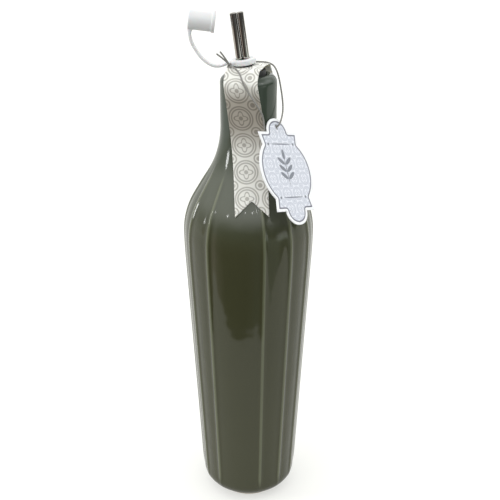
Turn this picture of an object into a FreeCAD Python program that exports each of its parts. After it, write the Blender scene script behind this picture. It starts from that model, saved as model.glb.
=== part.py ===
import FreeCAD, Part
import math
import os
from FreeCAD import Vector

os.makedirs("parts", exist_ok=True)

# All lengths are in millimetres. Z is up, the foot stands on Z = 0 and -Y is the front.
# Azimuths are counted from the front, positive towards +X.

# Bottle
mouth_z = 275.0
neck_radius = 16.0
neck_round = 56.0
shoulder_radius = 38.1
shoulder_z = 181.0
shoulder_round = 48.0
shoulder_slope = 31.0
wall_round = 300.0
wall_taper = 2.95
base_round = 9.5
foot_height = 3.0
foot_outer = 21.3
foot_width = 4.5
foot_hollow = 2.0
wall = 4.5
bore_radius = 10.0
bore_depth = 34.0
lip_round_out = 4.6
lip_round_in = 1.0

# Ribs of the bottle: one step between neighbours, two broad panels without a middle rib
rib_steps = 14
rib_side = 6
rib_height = 0.6
rib_width = 1.8
rib_turn = -12.0
rib_dive_round = 4.0
rib_dive_angle = 70.0
rib_run_out = 13.0

# Pourer: an upright stopper with a boss and two tubes that lean to -X
lean = 7.7
lean_z = 260.0
fit_gap = 0.25
plug_bottom_z = 250.0
plug_top_z = 277.6
core_radius = 8.3
fin_count = 4
fin_height = 1.6
fin_pitch = 5.4
fin_first_z = 252.5
plug_cap_height = 6.0
plug_edge = 1.0
boss_radius = 5.4
boss_top = 22.2
tube_radius = 1.75
tube_side = 1.9
tube_wall = 0.35
tube_top = 48.4
pour_tube_drop = 8.5
vent_tube_drop = 28.0

# Strap ring, strap and cap
ring_outer = 7.2
ring_height = 3.0
ring_s = 20.6
ring_edge = 0.6
ring_tube_gap = 0.35
strap_thick = 1.7
strap_width = 4.4
strap_reach = 3.2
strap_round = 17.0
strap_split = 48.0
strap_turn = 103.3
strap_overrun = 8.0
cap_outer = 5.6
cap_bore = 4.4
cap_length = 14.6
cap_end = 2.4
cap_lip = 0.5
cap_lip_length = 2.0
cap_edge = 0.8
cap_strap_inset = 0.8
cap_tilt = 7.2

# Paper band over the mouth
paper = 0.35
paper_gap = 0.4
band_turn = -17.0
band_width = 18.2
band_notch = 9.0
band_top_half = 10.4
band_lip_turn = 50.0
band_hole = 6.0
band_lift = 1.3
band_drift = 18.0
band_end_angle = 24.0
band_steps = 5

# Hang tag
tag_thick = 0.6
tag_belly = 21.0
tag_shoulder = 15.8
tag_waist = 14.4
tag_half = 21.0
tag_tab = 8.8
tag_tab_rise = 9.7
tag_waist_y = 15.56
tag_bow = (0.72, 0.7)
tag_hole = 1.5
tag_hole_drop = 5.0
tag_off = 2.8
tag_drop = 27.5
tag_side = 53.4
tag_azimuth = 56.4
tag_slant = 28.0
tag_roll = 17.6

# String: a knot beside the ring, two strands over the mouth's edge and two that hold the tag
cord = 1.0
cord_reach = 0.45
cord_through = 2.2
knot_radius = 1.25
swing_gap = 0.15
knot_point = (-10.2, -5.6, 280.7)
front_edge = (-4.6, -14.6, 278.0)
back_edge = (16.4, 3.6, 275.4)
over_front = [(-6.6, -10.6, 279.6)]
over_back = [(-12.8, 0.6, 277.3), (-8.4, 8.0, 280.1), (2.5, 9.8, 280.1), (12.8, 6.6, 280.1)]
down_front = [(-2.2, -17.9, 271.5), (5.6, -20.0, 260.0), (9.6, -14.2, 252.6)]
down_back = [(18.6, 2.6, 264.5), (19.5, -1.6, 257.0), (18.9, -6.6, 252.8)]
tails = [[(-13.2, -7.6, 284.6), (-17.4, -8.6, 287.6)], [(-12.6, -7.4, 285.2), (-15.4, -9.0, 288.9)]]


def at(radius, z):
    """Point of the half-plane y = 0 at this radius and height."""
    return Vector(radius, 0, z)


def sind(angle):
    return math.sin(math.radians(angle))


def cosd(angle):
    return math.cos(math.radians(angle))


def arc(a, b, c):
    return Part.Arc(a, b, c).toShape()


def line(a, b):
    return Part.makeLine(a, b)


def spun(edges):
    """Solid of revolution about Z of a closed outline in the half-plane."""
    return Part.Face(Part.Wire(edges)).revolve(Vector(0, 0, 0), Vector(0, 0, 1), 360)


def on_circle(radius, z, size, angle):
    """Point of a circle of the half-plane; the angle is counted from the outward direction."""
    return at(radius + size * cosd(angle), z + size * sind(angle))


class Outline:
    """Side of the bottle from the base to the neck, set in by a given depth along its normal."""

    def __init__(self, inset):
        top = shoulder_radius - inset
        turn = shoulder_round - inset
        self.shoulder = (top - turn, shoulder_z, turn)
        side = wall_round - inset
        self.side = (top - side, shoulder_z, side)
        flare = neck_round + inset
        slope_end = on_circle(*self.shoulder, shoulder_slope)
        flare_x = neck_radius - inset + flare
        run = (slope_end.x - flare_x + flare * cosd(shoulder_slope)) / math.tan(math.radians(shoulder_slope))
        flare_z = slope_end.z + run + flare * sind(shoulder_slope)
        self.flare = (flare_x, flare_z, flare)
        base = base_round - inset
        base_z = foot_height + base_round
        side_end = on_circle(*self.side, -wall_taper)
        drop = side_end.z - base_z + base * sind(wall_taper)
        base_x = side_end.x - drop * math.tan(math.radians(wall_taper)) - base * cosd(wall_taper)
        self.base = (base_x, base_z, base)

    def wall_edges(self):
        """Edges from the lower end of the straight wall up to the shoulder's slope."""
        low = on_circle(*self.base, -wall_taper)
        side_end = on_circle(*self.side, -wall_taper)
        equator = on_circle(*self.side, 0)
        slope_end = on_circle(*self.shoulder, shoulder_slope)
        return [
            line(low, side_end),
            arc(side_end, on_circle(*self.side, -wall_taper / 2), equator),
            arc(equator, on_circle(*self.shoulder, shoulder_slope / 2), slope_end),
        ]

    def base_edges(self):
        """Rounded lower corner, from the underside to the straight wall."""
        bottom = on_circle(*self.base, -90)
        return [arc(bottom, on_circle(*self.base, -45), on_circle(*self.base, -wall_taper))]

    def neck_edges(self):
        """Slope and concave flare up to the upright neck."""
        x, z, size = self.flare
        slope_end = on_circle(*self.shoulder, shoulder_slope)
        start = on_circle(x, z, size, 180 + shoulder_slope)
        return [
            line(slope_end, start),
            arc(start, on_circle(x, z, size, 180 + shoulder_slope / 2), self.neck_start()),
        ]

    def neck_start(self):
        x, z, size = self.flare
        return at(x - size, z)

    def bottom(self):
        return on_circle(*self.base, -90)


def make_bottle():
    outer = Outline(0)
    neck_top = at(neck_radius, mouth_z - lip_round_out)
    crest_out = at(neck_radius - lip_round_out, mouth_z)
    lip_mid = on_circle(neck_radius - lip_round_out, mouth_z - lip_round_out, lip_round_out, 45)
    crest_in = at(bore_radius + lip_round_in, mouth_z)
    lip_in = at(bore_radius, mouth_z - lip_round_in)
    lip_in_mid = on_circle(bore_radius + lip_round_in, mouth_z - lip_round_in, lip_round_in, 135)
    under = outer.bottom()
    inner = Outline(wall)
    bore_end = at(bore_radius, mouth_z - bore_depth)
    foot_inner = foot_outer - foot_width
    edges = [line(at(0, foot_hollow), at(foot_inner, foot_hollow)),
             line(at(foot_inner, foot_hollow), at(foot_inner, 0)),
             line(at(foot_inner, 0), at(foot_outer, 0)),
             line(at(foot_outer, 0), at(foot_outer, under.z)),
             line(at(foot_outer, under.z), under)]
    edges += outer.base_edges() + outer.wall_edges() + outer.neck_edges()
    edges += [line(outer.neck_start(), neck_top), arc(neck_top, lip_mid, crest_out),
              line(crest_out, crest_in), arc(crest_in, lip_in_mid, lip_in), line(lip_in, bore_end)]
    cavity_top = inner.neck_start()
    floor = inner.bottom()
    edges += [line(bore_end, cavity_top)]
    edges += inner.neck_edges() + inner.wall_edges() + inner.base_edges()
    edges += [line(floor, at(0, floor.z)), line(at(0, floor.z), at(0, foot_hollow))]
    body = spun(Part.__sortEdges__(edges))
    ribs = [rib(rib_turn + side * k * 360 / rib_steps) for k in range(1, rib_side + 1) for side in (-1, 1)]
    return body.fuse(ribs)


def rib(azimuth):
    """Upright plate whose outer edge stands off the bottle's side and dives into it at both ends."""
    edge = Outline(-rib_height)
    low = on_circle(*edge.base, -wall_taper)
    dive = (low.x - rib_dive_round * cosd(wall_taper), low.z + rib_dive_round * sind(wall_taper), rib_dive_round)
    foot = on_circle(*dive, -wall_taper - rib_dive_angle)
    slope_end = on_circle(*edge.shoulder, shoulder_slope)
    flare_start = on_circle(*edge.flare, 180 + shoulder_slope)
    run = slope_end.distanceToPoint(flare_start) + rib_run_out
    top = slope_end + Vector(-sind(shoulder_slope), 0, cosd(shoulder_slope)) * run
    depth = Vector(wall / 2, 0, 0)
    core = Outline(wall / 2)
    back_low = on_circle(*core.base, -wall_taper)
    back_end = on_circle(*core.shoulder, shoulder_slope)
    edges = [arc(foot, on_circle(*dive, -wall_taper - rib_dive_angle / 2), low)]
    edges += edge.wall_edges() + core.wall_edges()
    edges += [line(slope_end, top), line(top, top - depth), line(top - depth, back_end), line(back_low, foot)]
    plate = Part.Face(Part.Wire(Part.__sortEdges__(edges)))
    plate.translate(Vector(0, -rib_width / 2, 0))
    bar = plate.extrude(Vector(0, rib_width, 0))
    bar.rotate(Vector(0, 0, 0), Vector(0, 0, 1), azimuth - 90)
    return bar


lean_axis = Vector(-sind(lean), 0, cosd(lean))
lean_side = Vector(cosd(lean), 0, sind(lean))
lean_base = Vector(0, 0, lean_z)


def along(distance, side=0.0):
    """Point at a distance along the leaning spout axis and to its +X side."""
    return lean_base + lean_axis * distance + lean_side * side


def rod(radius, start, end, side=0.0):
    """Cylinder along the leaning spout axis."""
    return Part.makeCylinder(radius, end - start, along(start, side), lean_axis)


def make_stopper():
    fin_radius = bore_radius - fit_gap
    cap_low = plug_top_z - plug_cap_height
    points = [at(0, plug_bottom_z), at(core_radius - plug_edge, plug_bottom_z),
              at(core_radius, plug_bottom_z + plug_edge)]
    for k in range(fin_count):
        z = fin_first_z + k * fin_pitch
        points += [at(core_radius, z), at(fin_radius, z + fin_height / 2),
                   at(fin_radius, z + fin_height), at(core_radius, z + fin_height)]
    points = points[:-3]
    points += [at(fin_radius, cap_low), at(fin_radius, plug_top_z - plug_edge),
               at(fin_radius - plug_edge, plug_top_z), at(0, plug_top_z), at(0, plug_bottom_z)]
    plug = spun(Part.makePolygon(points).Edges)
    boss = rod(boss_radius, 0, boss_top)
    body = plug.fuse(boss)
    for side in (-tube_side, tube_side):
        body = body.cut(rod(tube_radius, -vent_tube_drop, tube_top, side))
    return body


def make_tube(start, side):
    outer = rod(tube_radius, start, tube_top, side)
    return outer.cut(rod(tube_radius - tube_wall, start, tube_top, side))


def make_ring():
    disc = rod(ring_outer, ring_s, ring_s + ring_height)
    rims = [e for e in disc.Edges if e.Curve.TypeId == "Part::GeomCircle"]
    disc = disc.makeChamfer(ring_edge, rims)
    disc = disc.cut(rod(boss_radius + fit_gap, ring_s, boss_top + fit_gap))
    return disc.cut(rod(tube_side + tube_radius + ring_tube_gap, ring_s, ring_s + ring_height))


def strap_path():
    """Start, split and end points of the strap's middle line with the centre of its bend."""
    mid = ring_s + ring_height / 2
    start = along(mid, -ring_outer)
    bend_start = along(mid, -ring_outer - strap_reach)
    centre = bend_start + lean_axis * strap_round
    return start, bend_start, centre


def bend_point(centre, angle, radius):
    """Point on the strap's bend, counted from where the bend starts."""
    return centre - lean_axis * (radius * cosd(angle)) - lean_side * (radius * sind(angle))


def bend_piece(centre, first, last):
    """Length of the strap's bend between two angles."""
    inner = strap_round - strap_thick / 2
    outer = strap_round + strap_thick / 2
    middle = (first + last) / 2
    a, b, c = (bend_point(centre, angle, inner) for angle in (first, middle, last))
    d, e, f = (bend_point(centre, angle, outer) for angle in (first, middle, last))
    face = Part.Face(Part.Wire([arc(a, b, c), line(c, f), arc(f, e, d), line(d, a)]))
    face.translate(Vector(0, -strap_width / 2, 0))
    return face.extrude(Vector(0, strap_width, 0))


def make_strap_lower():
    start, bend_start, centre = strap_path()
    half = lean_axis * (strap_thick / 2)
    a, b = start + lean_side * (ring_outer / 2), bend_start
    face = Part.Face(Part.makePolygon([a - half, b - half, b + half, a + half, a - half]))
    face.translate(Vector(0, -strap_width / 2, 0))
    bar = face.extrude(Vector(0, strap_width, 0))
    return bar.fuse(bend_piece(centre, 0, strap_split)).cut(rod(ring_outer, ring_s, ring_s + ring_height))


cap_way = Vector(cosd(cap_tilt), 0, -sind(cap_tilt))
cap_up = Vector(sind(cap_tilt), 0, cosd(cap_tilt))


def cap_place():
    """Middle of the cap's closed end: the strap's end meets the cap's side close to that end."""
    start, bend_start, centre = strap_path()
    return bend_point(centre, strap_turn, strap_round) + cap_up * (cap_outer + fit_gap) - cap_way * cap_strap_inset


cap_base = cap_place()


def make_strap_upper():
    start, bend_start, centre = strap_path()
    piece = bend_piece(centre, strap_split + math.degrees(swing_gap / strap_round), strap_turn + strap_overrun)
    clear = Part.makeCylinder(cap_outer + fit_gap, cap_length * 3, cap_base - cap_way * cap_length, cap_way)
    return piece.cut(clear)


def make_cap():
    shell = Part.makeCylinder(cap_outer, cap_length, cap_base, cap_way)
    ends = [e for e in shell.Edges if e.CenterOfMass.distanceToPoint(cap_base) < cap_edge]
    shell = shell.makeChamfer(cap_edge, ends)
    lip_start = cap_base + cap_way * (cap_length - cap_lip_length)
    lip = Part.makeCylinder(cap_outer + cap_lip, cap_lip_length, lip_start, cap_way)
    hollow = Part.makeCylinder(cap_bore, cap_length, cap_base + cap_way * cap_end, cap_way)
    return shell.fuse(lip).cut(hollow)


def band_path():
    """Inner side of one leg as (radius, height) points, from its lower end over the lip to the middle of the top."""
    outline = Outline(-paper_gap)
    lip = (neck_radius - lip_round_out, mouth_z - lip_round_out, lip_round_out + paper_gap)
    top = plug_top_z + band_lift
    low = [on_circle(*outline.shoulder, angle) for angle in spread(band_end_angle, shoulder_slope, band_steps)]
    bend = [on_circle(*outline.flare, 180 + angle) for angle in spread(shoulder_slope, 0, band_steps)]
    over = [on_circle(*lip, angle) for angle in spread(0, band_lip_turn, band_steps)]
    return low + bend + over + [at(band_top_half, top), at(0, top)]


def spread(first, last, steps):
    return [first + (last - first) * k / steps for k in range(steps + 1)]


def band_leg(drift):
    """Half of the strip, lofted through its cross lines; the leg drifts round the neck on its way down."""
    path = band_path()
    turn = Vector(0, 0, 1)
    sections = []
    for before, point, after in zip(path[:1] + path, path, path[1:] + path[-1:]):
        way = (after - before).normalize()
        out = Vector(way.z, 0, -way.x) * paper
        across = Vector(0, band_width / 2, 0)
        wire = Part.makePolygon([point - across, point + across, point + across + out, point - across + out,
                                 point - across])
        down = (mouth_z - point.z) / (mouth_z - path[0].z)
        wire.rotate(Vector(0, 0, 0), turn, drift * max(down, 0) ** 2)
        sections.append(wire)
    leg = Part.makeLoft(sections, True, True)
    tip = path[0].z - paper
    notch = Part.Face(Part.makePolygon([
        Vector(0, 0, tip + band_notch), Vector(0, -band_width / 2, tip), Vector(0, 0, 0),
        Vector(0, band_width / 2, tip), Vector(0, 0, tip + band_notch)])).extrude(Vector(shoulder_radius * 2, 0, 0))
    notch.rotate(Vector(0, 0, 0), turn, drift)
    return leg.cut(notch)


def make_band():
    """Strip folded over the mouth: both legs follow the bottle's side and the top bulges over the stopper."""
    back = band_leg(0)
    back.rotate(Vector(0, 0, 0), Vector(0, 0, 1), 180)
    strip = band_leg(band_drift).fuse(back)
    strip.rotate(Vector(0, 0, 0), Vector(0, 0, 1), band_turn - 90)
    hole_height = (plug_top_z - lean_z) / cosd(lean)
    return strip.cut(rod(band_hole, hole_height - band_hole, hole_height + band_hole))


tag_point = Vector(sind(tag_side), -cosd(tag_side), 0) * (neck_radius + tag_off) + Vector(0, 0, mouth_z - tag_drop)


def make_tag():
    """Die-cut card: round tabs above and below, square corners and a round belly, flat in its own plane."""
    def p(x, y):
        return Vector(x, y, 0)

    def side(s, up):
        """A quarter of the outline: from the tab's crown along the corner to the widest point of the belly."""
        crown = p(0, up * (tag_half + tag_tab_rise))
        bow = p(s * tag_tab * tag_bow[0], up * (tag_half + tag_tab_rise * tag_bow[1]))
        tab_foot = p(s * tag_tab, up * tag_half)
        corner = p(s * tag_shoulder, up * tag_half)
        waist = p(s * tag_waist, up * tag_waist_y)
        return [arc(crown, bow, tab_foot), line(tab_foot, corner), line(corner, waist)]

    def belly(s):
        return arc(p(s * tag_waist, tag_waist_y), p(s * tag_belly, 0), p(s * tag_waist, -tag_waist_y))

    edges = [belly(1), belly(-1)]
    for s in (1, -1):
        edges += side(s, 1) + side(s, -1)
    face = Part.Face(Part.Wire(Part.__sortEdges__(edges)))
    card = face.extrude(Vector(0, 0, tag_thick))
    hole_y = tag_half + tag_tab_rise - tag_hole_drop
    card = card.cut(Part.makeCylinder(tag_hole, tag_thick * 3, p(0, hole_y) - Vector(0, 0, tag_thick)))
    card.translate(Vector(0, -hole_y, 0))
    card.rotate(Vector(0, 0, 0), Vector(0, 0, 1), -tag_roll)
    card.rotate(Vector(0, 0, 0), Vector(1, 0, 0), 90 - tag_slant)
    card.rotate(Vector(0, 0, 0), Vector(0, 0, 1), tag_azimuth)
    card.translate(tag_point)
    return card


def strand(points):
    """Round cord along straight runs, with a tangent bend at each point that is as large as its runs allow."""
    points = [Vector(*p) for p in points]
    lengths = []
    start = points[0]
    for before, bend, after in zip(points, points[1:], points[2:]):
        back = (before - bend).normalize()
        on = (after - bend).normalize()
        reach = cord_reach * min(before.distanceToPoint(bend), after.distanceToPoint(bend))
        half = back.getAngle(on) / 2
        middle = (back + on).normalize()
        first, last = bend + back * reach, bend + on * reach
        centre = bend + middle * (reach / math.cos(half))
        lengths.append(Part.makeCylinder(cord / 2, start.distanceToPoint(first), start, first - start))
        ring = Part.Face(Part.Wire(Part.makeCircle(cord / 2, first, back)))
        lengths.append(ring.revolve(centre, on.cross(back), 180 - math.degrees(2 * half)))
        start = last
    lengths.append(Part.makeCylinder(cord / 2, start.distanceToPoint(points[-1]), start, points[-1] - start))
    return lengths[0].fuse(lengths[1:]).removeSplitter()


def stepped(start, towards, distance):
    """Point at a distance from start on the way to another point."""
    way = Vector(*towards) - Vector(*start)
    return tuple(Vector(*start) + way.normalize() * distance)


def make_knot():
    knot = Part.makeSphere(knot_radius, Vector(*knot_point))
    return knot.fuse([strand([knot_point] + tail) for tail in tails])


def make_over(points, edge):
    """Strand from the knot to the mouth's edge, with a round end that the hanging strand turns about."""
    cut_back = Part.makeSphere(knot_radius, Vector(*knot_point))
    body = strand([knot_point] + points + [edge]).cut(cut_back)
    return body.fuse(Part.makeSphere(cord / 2, Vector(*edge)))


def make_down(edge, points, side):
    """Hanging strand from the mouth's edge to the tag's hole; both strands meet in the hole."""
    normal = Vector(sind(tag_azimuth) * cosd(tag_slant), -cosd(tag_azimuth) * cosd(tag_slant), sind(tag_slant))
    middle = tag_point + normal * (tag_thick / 2)
    first = stepped(edge, points[0], cord / 2 + swing_gap)
    return strand([first] + points + [tuple(middle + normal * (side * cord_through)), tuple(middle)])


solids = {
    "bottle_body": make_bottle(),
    "stopper": make_stopper(),
    "pour_tube": make_tube(-pour_tube_drop, tube_side),
    "vent_tube": make_tube(-vent_tube_drop, -tube_side),
    "strap_ring": make_ring(),
    "strap_lower": make_strap_lower(),
    "strap_upper": make_strap_upper(),
    "spout_cap": make_cap(),
    "paper_band": make_band(),
    "hang_tag": make_tag(),
    "string_knot": make_knot(),
    "string_over_front": make_over(over_front, front_edge),
    "string_over_back": make_over(over_back, back_edge),
    "string_down_front": make_down(front_edge, down_front, -1),
    "string_down_back": make_down(back_edge, down_back, 1),
}

for name, solid in solids.items():
    print(name, solid.isValid(), len(solid.Solids), round(solid.Volume, 1), solid.BoundBox)
    solid.exportStep("parts/" + name + ".step")
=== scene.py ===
import math

import bmesh
import bpy
import numpy as np
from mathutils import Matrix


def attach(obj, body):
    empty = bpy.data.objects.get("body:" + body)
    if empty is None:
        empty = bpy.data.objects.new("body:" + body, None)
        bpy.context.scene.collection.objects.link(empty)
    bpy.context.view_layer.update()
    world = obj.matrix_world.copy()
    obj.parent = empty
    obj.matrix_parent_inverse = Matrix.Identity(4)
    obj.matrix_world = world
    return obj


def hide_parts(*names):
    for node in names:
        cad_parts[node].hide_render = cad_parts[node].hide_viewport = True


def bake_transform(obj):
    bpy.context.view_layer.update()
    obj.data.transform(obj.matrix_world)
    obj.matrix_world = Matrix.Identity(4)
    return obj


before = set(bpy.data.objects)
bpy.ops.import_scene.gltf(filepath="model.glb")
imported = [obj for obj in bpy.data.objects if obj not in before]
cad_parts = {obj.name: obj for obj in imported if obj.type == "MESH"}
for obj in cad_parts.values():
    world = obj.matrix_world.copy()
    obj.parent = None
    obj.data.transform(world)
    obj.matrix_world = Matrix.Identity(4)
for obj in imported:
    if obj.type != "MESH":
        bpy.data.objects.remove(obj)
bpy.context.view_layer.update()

# Lengths are in millimetres and angles in degrees, in the row frame; meshes are written in metres
MM = 0.001

# Bottle: round values are the radii of the arcs of its outline
MOUTH_Z = 275.0
NECK_R, NECK_ROUND = 16.0, 56.0
SHOULDER_R, SHOULDER_Z, SHOULDER_ROUND, SHOULDER_SLOPE = 38.1, 181.0, 48.0, 31.0
WALL_ROUND, WALL_TAPER = 300.0, 2.95
BASE_ROUND = 9.5
FOOT_H, FOOT_OUT, FOOT_IN, FOOT_HOLLOW = 3.0, 21.3, 16.8, 2.0
WALL, BORE_R, BORE_DEPTH = 4.5, 10.0, 34.0
LIP_OUT, LIP_IN = 4.6, 1.0

# Ribs: places round the bottle, ribs on each side of the front, and the heights where they rise and run out
RIB_PLACES, RIB_SIDE, RIB_TURN, RIB_H, RIB_W = 14, 6, -12.0, 0.6, 1.25
RIB_START, RIB_FULL, RIB_FADE, RIB_END = 5.0, 20.0, 212.0, 229.0
HOLLOW_AWAY, HOLLOW_W, HOLLOW_DEPTH = 3.4, 1.6, 0.12
# Columns of the mesh on one side of a rib's middle, in radians
RIB_COLUMNS = (0, 0.012, 0.024, 0.036, 0.05, 0.068, 0.09, 0.12, 0.165)

# Stopper and tubes: heights of leaning pieces are measured along the lean from LEAN_Z
LEAN, LEAN_Z = 7.7, 260.0
TUBE_R, TUBE_WALL, TUBE_SIDE, TUBE_TOP, TUBE_ROUND = 1.87, 0.4, 1.9, 48.4, 0.17
POUR_LOW, VENT_LOW = -8.5, -28.0
PLUG_LOW, PLUG_TOP, CORE_R, FIN_R = 250.0, 277.6, 8.3, 9.75
FINS, FIN_Z, FIN_STEP, FIN_SLOPE, FIN_H = 3, 252.5, 5.4, 0.8, 1.6
HEAD_SLOPE_Z, HEAD_H = 268.7, 6.0
BOSS_R, BOSS_LOW, BOSS_TOP = 5.4, 14.0, 22.2

# Collar, strap and cap: the strap's bow is the power that squares its section
RING_R, RING_H, RING_S, RING_HOLE, RING_GAP = 7.2, 3.0, 20.6, 4.0, 0.25
STRAP_T, STRAP_W, STRAP_GAIN, STRAP_ROOT, STRAP_BOW = 1.7, 4.4, 2.2, 0.6, 0.45
STRAP_COLUMNS = 28
# Shares of the strap's length: where it starts to bend, where it is cut in two and where it thickens
STRAP_FREE, STRAP_CUT, STRAP_THICK = 0.12, 0.72, 0.86
STRAP_BEND = [(-12.2, 0, 280.6), (-15.2, 0, 279.6), (-18.7, 0, 279.5), (-22.4, 0, 281.1),
              (-25.9, 0, 284.1), (-28.9, 0, 288.2), (-31.4, 0, 293.3), (-32.5, 0, 300.4)]
CAP_R, CAP_BORE, CAP_L, CAP_END, CAP_LIP, CAP_LIP_L = 5.6, 4.4, 14.6, 2.4, 0.5, 2.0
CAP_AT, CAP_TILT = (-32.5, 0.0, 304.9), 7.2

# Paper band: its front leg drifts round the neck over the given share of its way down
PAPER, PAPER_GAP, BAND_TURN, BAND_W, BAND_NOTCH = 0.35, 0.4, -17.0, 19.0, 9.0
BAND_TOP_HALF, BAND_LIP_TURN, BAND_HOLE, BAND_LIFT = 10.4, 50.0, 6.0, 1.3
BAND_DRIFT, BAND_DRIFT_SPAN, BAND_END_ANGLE = 20.5, 0.77, 26.4
BULGE_X, BULGE_R, BULGE_H = 4.5, 6.0, 1.3
BAND_COLUMNS, BAND_HOLE_REACH, BAND_NOTCH_FROM, PRINT_SHIFT = 26, 1.45, 0.55, 5.0

# Hang tag: heights are measured from the card's middle
TAG_T, TAG_BELLY, TAG_SHOULDER, TAG_WAIST, TAG_WAIST_Y = 0.6, 21.0, 15.8, 14.4, 15.56
TAG_HALF, TAG_TAB, TAG_RISE, TAG_HOLE, TAG_DROP = 22.7, 8.6, 7.9, 1.5, 5.0
TAG_BOW_X, TAG_BOW_Y, TAG_HOLE_REACH = 0.72, 0.7, 1.7
TAG_AT, TAG_AZ, TAG_SLANT, TAG_ROLL = (15.09, -11.21, 247.5), 53.0, 30.0, 15.0

# String: thickness, depth through the tag's hole, lay, share of the ply's swell, and the points of its route
CORD, CORD_THROUGH, CORD_LAY, CORD_PLY, CORD_COLUMNS = 1.0, 2.6, 2.6, 0.07, 12
KNOT, KNOT_LOOP = (-10.2, -5.6, 280.7), (0.8, 0.55, 0.75)
FRONT_EDGE, BACK_EDGE = (-4.6, -14.6, 278.0), (16.4, 3.6, 275.4)
OVER_FRONT = [(-6.6, -10.6, 279.6)]
OVER_BACK = [(-12.8, 0.6, 277.3), (-8.4, 8.0, 279.8), (2.5, 9.8, 279.8), (12.8, 6.6, 280.0)]
DOWN_FRONT = [(-2.2, -17.9, 271.5), (5.9, -20.7, 260.5), (8.3, -17.8, 254.6), (9.1, -18.5, 244.1)]
DOWN_BACK = [(18.6, 2.6, 264.5), (19.5, -1.6, 257.0), (18.9, -6.6, 252.8)]
TAILS = [[(-13.2, -7.6, 284.6), (-17.4, -8.6, 287.6)], [(-12.6, -7.4, 285.2), (-15.4, -9.0, 288.9)]]

# Room: brightness of its parts, and in radians the directions of two pale patches seen in the glaze
ROOM_DIM, ROOM_BAND, ROOM_CEILING, ROOM_GREEN = 0.08, 2.5, 0.9, 0.12
ROOM_SHEEN, ROOM_WALL, ROOM_STREAK = 0.3, 0.7, 1.4
SHEEN_AT, STREAK_AT, STREAK_UP = 0.78, 1.08, -0.04

# Floor, in metres: it ends before the camera, and further back on the left
FLOOR_SIZE, FLOOR_FRONT, FLOOR_FRONT_LEFT, FLOOR_BEND = 8.0, -0.215, -0.135, -0.3

# Floor's own light: for every ray, what is added for the camera, and the share of that which gloss sees
FLOOR_SHINE, FLOOR_SEEN, FLOOR_MIRRORED = 0.08, 0.36, 0.4

# Camera: its place in metres, its tilt below level, and its lens and sensor in millimetres
CAMERA_AT, CAMERA_DOWN, CAMERA_LENS, CAMERA_SENSOR = (0.00085, -0.4659, 0.3754), 24.0, 60.6, 36.0

# Lamps: height above the shoulder, in metres, of the point that they aim at
LAMP_AIM = 0.04


def sind(angle):
    """Sine of an angle in degrees."""
    return math.sin(math.radians(angle))


def cosd(angle):
    """Cosine of an angle in degrees."""
    return math.cos(math.radians(angle))


def tand(angle):
    """Tangent of an angle in degrees."""
    return math.tan(math.radians(angle))


def smooth(start, end, x):
    """0 before the start, 1 after the end and 3t^2 - 2t^3 between them."""
    t = np.clip((x - start) / (end - start), 0.0, 1.0)
    return t * t * (3 - 2 * t)


def unit(vector):
    """The vector divided by its length."""
    vector = np.asarray(vector, float)
    return vector / np.linalg.norm(vector)


# Meshes

def piece(name, points, faces, material, slot, **values):
    """Mesh object from points in millimetres, with named values per point.

    The sum of a . (b x c) over the faces' first corners is positive where the faces point
    outwards; otherwise all faces are turned round.
    """
    points = np.asarray(points)
    faces = [list(map(int, face)) for face in faces]
    a, b, c = (points[[face[k] for face in faces]] - points.mean(0) for k in range(3))
    room = np.sum(a * np.cross(b, c))
    mesh = bpy.data.meshes.new(name)
    mesh.from_pydata((points * MM).tolist(), [], faces if room > 0 else [face[::-1] for face in faces])
    mesh.polygons.foreach_set("use_smooth", np.ones(len(mesh.polygons), bool))
    for key, value in values.items():
        kind, field = ("FLOAT_VECTOR", "vector") if np.ndim(value) == 2 else ("FLOAT", "value")
        layer = mesh.attributes.new(key, kind, "POINT")
        layer.data.foreach_set(field, np.ravel(value).astype(np.float32))
    mesh.materials.append(material)
    weld = bmesh.new()
    weld.from_mesh(mesh)
    bmesh.ops.remove_doubles(weld, verts=weld.verts, dist=1e-7)
    weld.to_mesh(mesh)
    weld.free()
    obj = bpy.data.objects.new(name, mesh)
    bpy.context.scene.collection.objects.link(obj)
    return obj


def grid_faces(rows, columns, ring=False):
    """Quads of a grid of points stored row by row; a ring closes each row on itself."""
    row = np.arange(rows - 1)[:, None] * columns
    column = np.arange(columns if ring else columns - 1)[None, :]
    after = (column + 1) % columns
    quads = [row + column, row + after, row + columns + after, row + columns + column]
    return np.stack(quads, -1).reshape(-1, 4)


def slab(top, bottom, faces):
    """Closed sheet between two skins with the same faces, with a wall along every edge of one face only."""
    count = len(top)
    start = faces.ravel()
    end = np.roll(faces, -1, axis=1).ravel()
    single = ~np.isin(end * count + start, start * count + end)
    start, end = start[single], end[single]
    walls = np.stack([end, start, start + count, end + count], 1)
    return np.vstack([top, bottom]), np.vstack([faces, faces[:, ::-1] + count, walls])


def join(parts):
    """Several (points, faces) sets as one."""
    starts = np.cumsum([0] + [len(points) for points, _ in parts])
    faces = [faces + start for (_, faces), start in zip(parts, starts)]
    return np.vstack([points for points, _ in parts]), np.vstack(faces)


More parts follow.
